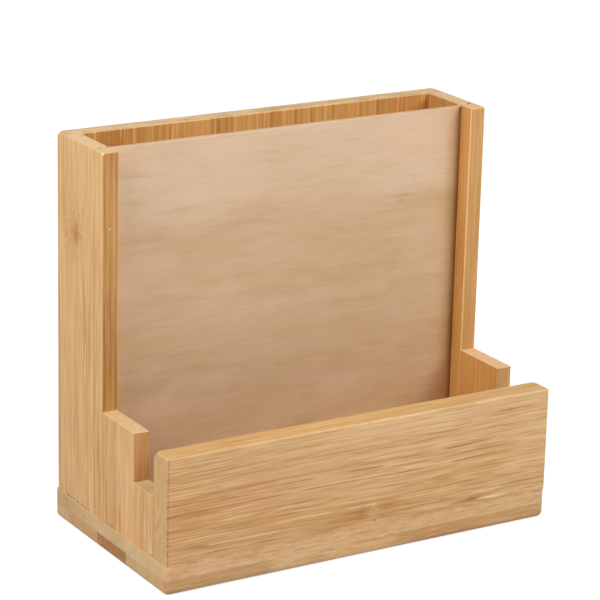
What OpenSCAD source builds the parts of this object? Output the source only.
// Bamboo desk organiser: an open pen cup at the back and a stepped rest in front
// of it, where a phone lies on its side behind a low lip.
// Every board is a separate piece; hidden wooden dowels and glue hold them together.
// Sizes are in millimetres. +X is to the right as seen from the front, +Y is to
// the back and +Z is up. The origin is the middle of the footprint, on the underside.

/* [Overall] */
// Width across the outer faces of the two side panels
body_w = 150; // [110:1:220]
// Depth from the front of the lip board to the back of the back panel
body_d = 79.8; // [78:0.1:120]
// Height of the rim of the pen cup above the table
body_h = 137.5; // [90:0.1:200]

/* [Base board] */
// Thickness of the upper ply of the base board
upper_ply_t = 5.1; // [3:0.1:8]
// Thickness of the lower ply of the base board
lower_ply_t = 5.4; // [3:0.1:8]
// How far the base board stands out past the panels at the sides and back
base_overhang = 0.3; // [0.1:0.1:1]
// How far the base board stands out past the lip board at the front
front_overhang = 0.2; // [0.1:0.1:0.8]
// Width of one bamboo strip in the lower ply
strip_w = 21; // [20:0.1:22]
// Distance from the front of the lip board to the first joint between strips
first_strip_joint = 6.2; // [4:0.1:9]
// Radius on the upright corners and bottom edges of the base board
base_corner_r = 2; // [0.4:0.1:2.5]

/* [Side panels] */
// Thickness of each side panel
side_t = 6; // [5:0.1:9]
// Distance from the front of the lip board to the tall part of the side panels
tall_y = 45.6; // [43:0.1:46]
// Distance from the front of the lip board to the back wall of the phone notch
notch_back_y = 22.9; // [20:0.1:28]
// Height of the ledge above the table
ledge_z = 48.8; // [42:0.1:60]
// Height of the floor of the phone notch above the table
notch_z = 31.8; // [28:0.1:36]
// Radius on the outer edges along the rim and the tall front edges
rim_r = 0.6; // [0.3:0.1:2]
// Radius on the inner edges along the rim
inner_rim_r = 0.5; // [0.2:0.1:1]
// Radius on the edges of the ledge and of the phone notch
step_r = 0.35; // [0.2:0.05:1]
// Reach along the edges of the sanding on the top front corners of the side panels
rim_corner = 1.5; // [0.5:0.1:3]

/* [Back panel] */
// Thickness of the back panel
back_t = 7.5; // [6:0.1:9.5]
// Radius on the upright corners of the back panel
back_corner_r = 2.3; // [0.5:0.1:2.8]
// Radius on the top back edge of the back panel
back_top_r = 1.7; // [0.5:0.1:2.8]
// Reach along the edges of the sanding on the top back corners of the back panel
back_top_corner = 3.6; // [1:0.1:5]

/* [Cup front panel] */
// Thickness of the thin panel that closes the front of the pen cup
cup_panel_t = 2; // [1.5:0.1:3]
// How far the thin panel is set back from the tall front edges
cup_panel_recess = 6.1; // [5:0.1:9]
// How far the top of the thin panel is below the rim
cup_panel_drop = 0.4; // [0:0.1:3]
// Depth of the groove in each side panel that holds the thin panel
groove_depth = 4.2; // [2:0.1:4.5]
// Gap left in front of and behind the thin panel inside its groove
groove_gap = 0.1; // [0.05:0.01:0.2]

/* [Lip board] */
// Thickness of the lip board
lip_t = 9; // [8:0.1:11]
// Height of the top of the lip board above the table
lip_z = 47.5; // [38:0.1:60]
// Radius on the top back edge of the lip board
lip_back_r = 0.9; // [0.5:0.1:3.5]
// Radius on the top front edge of the lip board
lip_front_r = 0.8; // [0.3:0.1:2]
// Radius on the upright front edges at the two ends of the lip board
lip_end_r = 0.4; // [0.3:0.1:2]
// Radius on the top edges at the two ends of the lip board
lip_end_top_r = 0.8; // [0.3:0.1:3]
// Reach along the edges of the sanding on the top back corners of the lip board
lip_back_corner = 2.8; // [0.5:0.1:4]
// Reach along the edges of the sanding on the top front corners of the lip board
lip_front_corner = 1.3; // [0.5:0.1:3]

/* [Dowels] */
// Diameter of the hidden wooden dowels
dowel_d = 3; // [2.5:0.1:3.2]
// Length of the hidden wooden dowels
dowel_l = 12; // [11:0.5:13]
// Gap for glue between a dowel and the wall of its hole
glue_gap = 0.05; // [0.02:0.01:0.1]

/* [Hidden] */
$fn = 64;
overshoot = 1;                                     // how far cutting shapes run past a face
both_sides = [-1, 1];                              // left, right

// Faces of the boards
half_w = body_w / 2;                               // outer face of the right side panel
base_half_w = half_w + base_overhang;              // right end of the base board
front_y = -(body_d + base_overhang - front_overhang) / 2;  // front face of the lip board
back_y = front_y + body_d;                         // back face of the back panel
base_front_y = front_y - front_overhang;           // front of the base board
base_back_y = back_y + base_overhang;              // back of the base board
base_z = upper_ply_t + lower_ply_t;                // top of the base board
lip_back_y = front_y + lip_t;                      // back face of the lip board
step_y = front_y + notch_back_y;                   // back wall of the phone notch
tall_front_y = front_y + tall_y;                   // front edges of the tall part
cup_panel_y = tall_front_y + cup_panel_recess;     // front face of the thin panel
back_in_y = back_y - back_t;                       // inner face of the back panel
strip_y = front_y + first_strip_joint;             // first joint in the lower ply
strip_count = 5;

// Small details of the boards
step_overlap = 3;                                  // how far each step runs into the next
cup_panel_end_gap = 0.25;                          // from the thin panel to the groove floor
cup_panel_top_r = 0.25;
lip_end_back_r = 0.3;                              // upright back edges of the lip board
ply_top_r = 0.4;                                   // top edges of the base, sides and back
ply_front_top_r = 0.2;                             // top front edge of the base

// Dowel details and places
dowel_chamfer = 0.4;
hole_extra_l = 0.6;                                // how much longer a hole is than its dowel
back_dowel_shift = 1.2;                            // forward, so the back panel keeps its wall
side_x = half_w - side_t / 2;                      // middle plane of the right side panel
base_dowel_y = [step_y - 2.5, back_in_y - 13];
lip_dowel_z = (base_z + notch_z) / 2 + 3.5;        // a little above mid-height of the notch part
back_dowel_z = [base_z + 16, (base_z + body_h) / 2, body_h - 14];

bamboo = [0.84, 0.68, 0.48];
pale_bamboo = [0.85, 0.73, 0.57];
end_grain = [0.79, 0.66, 0.49];
dark_strip = [0.65, 0.48, 0.33];
dowel_wood = [0.82, 0.71, 0.55];

// Shaping ----------------------------------------------------------------
// A corner comes with its inward direction: 1 or -1 on each axis, pointing into the board

// Lower limit, on one axis, of a waste block that reaches into the board from a corner
function waste_start(corner, inward, reach) = corner - (inward > 0 ? overshoot : reach);

// Waste an edge tool takes off a square corner of an outline
module corner_waste(x, y, inward, r) {
    if (r > 0)
        difference() {
            translate([waste_start(x, inward[0], r), waste_start(y, inward[1], r)])
                square([r + overshoot, r + overshoot]);
            translate([x + inward[0] * r, y + inward[1] * r])
                circle(r = r);
        }
}

// Rectangle with its own radius on each corner: lower left, lower right, upper right, upper left
module eased_rect(x0, y0, x1, y1, radii) {
    difference() {
        translate([x0, y0])
            square([x1 - x0, y1 - y0]);
        corner_waste(x0, y0, [1, 1], radii[0]);
        corner_waste(x1, y0, [-1, 1], radii[1]);
        corner_waste(x1, y1, [-1, -1], radii[2]);
        corner_waste(x0, y1, [1, -1], radii[3]);
    }
}

// A YZ outline run along X
module along_x(x0, x1) {
    translate([x0, 0, 0])
        rotate([90, 0, 90])
            linear_extrude(x1 - x0)
                children();
}

// An XZ outline run along Y
module along_y(y0, y1) {
    translate([0, y1, 0])
        rotate([90, 0, 0])
            linear_extrude(y1 - y0)
                children();
}

// An XY outline run along Z
module along_z(z0, z1) {
    translate([0, 0, z0])
        linear_extrude(z1 - z0)
            children();
}

// A board between two corners, with four radii for each view of it, as in eased_rect:
// rx (YZ outline): bottom front, bottom back, top back, top front
// ry (XZ outline): bottom left, bottom right, top right, top left
// rz (XY outline): front left, front right, back right, back left
module board(lo, hi, rx = [0, 0, 0, 0], ry = [0, 0, 0, 0], rz = [0, 0, 0, 0]) {
    // the XZ outline runs past the underside unless it rounds the bottom edges
    under = ry[0] > 0 ? 0 : overshoot;
    intersection() {
        along_x(lo[0], hi[0])
            eased_rect(lo[1], lo[2], hi[1], hi[2], rx);
        along_y(lo[1] - overshoot, hi[1] + overshoot)
            eased_rect(lo[0], lo[2] - under, hi[0], hi[2], ry);
        along_z(lo[2] - overshoot, hi[2] + overshoot)
            eased_rect(lo[0], lo[1], hi[0], hi[1], rz);
    }
}

// Waste at a board corner, outside a ball centred `inset` in from each of its faces
module outside_ball(corner, inward, reach, inset, ball_r) {
    difference() {
        translate([for (i = [0:2]) waste_start(corner[i], inward[i], reach)])
            cube(reach + overshoot);
        translate(corner + inset * inward)
            sphere(r = ball_r);
    }
}

// Sanding that reaches the same distance along each edge and leaves a bulging face
module corner_sanding(corner, inward, reach) {
    outside_ball(corner, inward, reach, inset = 2 * reach, ball_r = 3 * reach);
}

// Rounding where three edges of radius r meet; the ball is 1% larger than the edges
module ball_corner(corner, inward, r) {
    outside_ball(corner, inward, r, inset = r, ball_r = r * 1.01);
}

// Dowels -----------------------------------------------------------------

// A dowel standing on Z, centred on the origin, with its ends chamfered
module dowel() {
    tip_d = dowel_d - 2 * dowel_chamfer;
    union() {
        translate([0, 0, -dowel_l / 2 + dowel_chamfer])
            cylinder(d = dowel_d, h = dowel_l - 2 * dowel_chamfer);
        translate([0, 0, -dowel_l / 2])
            cylinder(d1 = tip_d, d2 = dowel_d, h = dowel_chamfer);
        translate([0, 0, dowel_l / 2 - dowel_chamfer])
            cylinder(d1 = dowel_d, d2 = tip_d, h = dowel_chamfer);
    }
}

// The hole drilled for a dowel, both halves
module dowel_hole() {
    cylinder(d = dowel_d + 2 * glue_gap, h = dowel_l + hole_extra_l, center = true);
}

// Places of the dowels that stand up out of the base board into the side panels
module at_base_dowels(sides = both_sides) {
    for (side = sides, y = base_dowel_y)
        translate([side * side_x, y, base_z])
            children();
}

// Places of the dowels that run from the lip board into the side panels
module at_lip_dowels(sides = both_sides) {
    for (side = sides)
        translate([side * side_x, lip_back_y, lip_dowel_z])
            rotate([90, 0, 0])
                children();
}

// Places of the dowels that run from the back panel into the side panels
module at_back_dowels(sides = both_sides) {
    for (side = sides, z = back_dowel_z)
        translate([side * side_x, back_in_y - back_dowel_shift, z])
            rotate([90, 0, 0])
                children();
}

// Pieces -----------------------------------------------------------------

// The profiled panel that closes one side: side = -1 for the left, 1 for the right
module side_panel(side) {
    outer_x = side * half_w;
    inner_x = side * (half_w - side_t);
    x0 = min(outer_x, inner_x);
    x1 = max(outer_x, inner_x);
    left_r = side < 0 ? rim_r : inner_rim_r;
    right_r = side < 0 ? inner_rim_r : rim_r;
    difference() {
        union() {
            // tall part beside the pen cup
            board([x0, tall_front_y, base_z], [x1, back_in_y, body_h],
                  rx = [0, 0, 0, rim_r],
                  ry = [0, 0, right_r, left_r],
                  rz = [left_r, right_r, 0, 0]);
            // ledge between the phone notch and the tall part
            board([x0, step_y, base_z], [x1, tall_front_y + step_overlap, ledge_z],
                  rx = [0, 0, 0, step_r],
                  ry = [0, 0, step_r, step_r],
                  rz = [step_r, step_r, 0, 0]);
            // floor of the phone notch
            board([x0, lip_back_y, base_z], [x1, step_y + step_overlap, notch_z],
                  ry = [0, 0, step_r, step_r]);
        }
        // upright groove for the thin panel, open to the inner face
        translate([side < 0 ? x1 - groove_depth : x0 - overshoot,
                   cup_panel_y - groove_gap, base_z - overshoot])
            cube([groove_depth + overshoot, cup_panel_t + 2 * groove_gap, body_h]);
        corner_sanding([outer_x, tall_front_y, body_h], [-side, 1, -1], rim_corner);
        at_base_dowels([side]) dowel_hole();
        at_lip_dowels([side]) dowel_hole();
        at_back_dowels([side]) dowel_hole();
    }
}

// The tall board across the whole back
module back_panel() {
    color(bamboo)
        difference() {
            board([-half_w, back_in_y, base_z], [half_w, back_y, body_h],
                  rx = [0, 0, back_top_r, inner_rim_r],
                  ry = [0, 0, rim_r, rim_r],
                  rz = [0, 0, back_corner_r, back_corner_r]);
            for (side = both_sides)
                corner_sanding([side * half_w, back_y, body_h], [-side, -1, -1],
                               back_top_corner);
            at_back_dowels() dowel_hole();
        }
}

module left_side_panel() {
    color(bamboo) side_panel(-1);
}

module right_side_panel() {
    color(bamboo) side_panel(1);
}

// The thin panel in the grooves, its top just below the rim
module cup_front_panel() {
    end_x = half_w - side_t + groove_depth - cup_panel_end_gap;
    color(pale_bamboo)
        board([-end_x, cup_panel_y, base_z],
              [end_x, cup_panel_y + cup_panel_t, body_h - cup_panel_drop],
              rx = [0, 0, cup_panel_top_r, cup_panel_top_r]);
}

// The low board across the front that keeps the phone from sliding off
module front_lip_board() {
    color(bamboo)
        difference() {
            board([-half_w, front_y, base_z], [half_w, lip_back_y, lip_z],
                  rx = [0, 0, lip_back_r, lip_front_r],
                  ry = [0, 0, lip_end_top_r, lip_end_top_r],
                  rz = [lip_end_r, lip_end_r, lip_end_back_r, lip_end_back_r]);
            for (side = both_sides) {
                corner_sanding([side * half_w, lip_back_y, lip_z], [-side, -1, -1],
                               lip_back_corner);
                corner_sanding([side * half_w, front_y, lip_z], [-side, 1, -1],
                               lip_front_corner);
            }
            at_lip_dowels() dowel_hole();
        }
}

// Upper ply of the base board
module base_upper_ply() {
    r = base_corner_r;
    color(end_grain)
        difference() {
            board([-base_half_w, base_front_y, lower_ply_t],
                  [base_half_w, base_back_y, base_z],
                  rx = [0, 0, ply_top_r, ply_front_top_r],
                  ry = [0, 0, ply_top_r, ply_top_r],
                  rz = [r, r, r, r]);
            at_base_dowels() dowel_hole();
        }
}

// One strip of the lower ply, counted from 1 at the front; the first and last
// strips carry the rounded front and back of the base board
module base_lower_strip(i) {
    is_first = i == 1;
    is_last = i == strip_count;
    y0 = is_first ? base_front_y : strip_y + (i - 2) * strip_w;
    y1 = is_last ? base_back_y : strip_y + (i - 1) * strip_w;
    r = base_corner_r;
    front_r = is_first ? r : 0;
    back_r = is_last ? r : 0;
    difference() {
        board([-base_half_w, y0, 0], [base_half_w, y1, lower_ply_t],
              rx = [front_r, back_r, 0, 0],
              ry = [r, r, 0, 0],
              rz = [front_r, front_r, back_r, back_r]);
        for (side = both_sides) {
            if (is_first)
                ball_corner([side * base_half_w, y0, 0], [-side, 1, 1], r);
            if (is_last)
                ball_corner([side * base_half_w, y1, 0], [-side, -1, 1], r);
        }
        at_base_dowels() dowel_hole();
    }
}

module base_lower_strip_1() {
    color(end_grain) base_lower_strip(1);
}

module base_lower_strip_2() {
    color(end_grain) base_lower_strip(2);
}

module base_lower_strip_3() {
    color(dark_strip) base_lower_strip(3);
}

module base_lower_strip_4() {
    color(end_grain) base_lower_strip(4);
}

module base_lower_strip_5() {
    color(end_grain) base_lower_strip(5);
}

module base_to_side_dowels() {
    color(dowel_wood) at_base_dowels() dowel();
}

module lip_to_side_dowels() {
    color(dowel_wood) at_lip_dowels() dowel();
}

module back_to_side_dowels() {
    color(dowel_wood) at_back_dowels() dowel();
}

back_panel();
left_side_panel();
right_side_panel();
cup_front_panel();
front_lip_board();
base_upper_ply();
base_lower_strip_1();
base_lower_strip_2();
base_lower_strip_3();
base_lower_strip_4();
base_lower_strip_5();
base_to_side_dowels();
lip_to_side_dowels();
back_to_side_dowels();
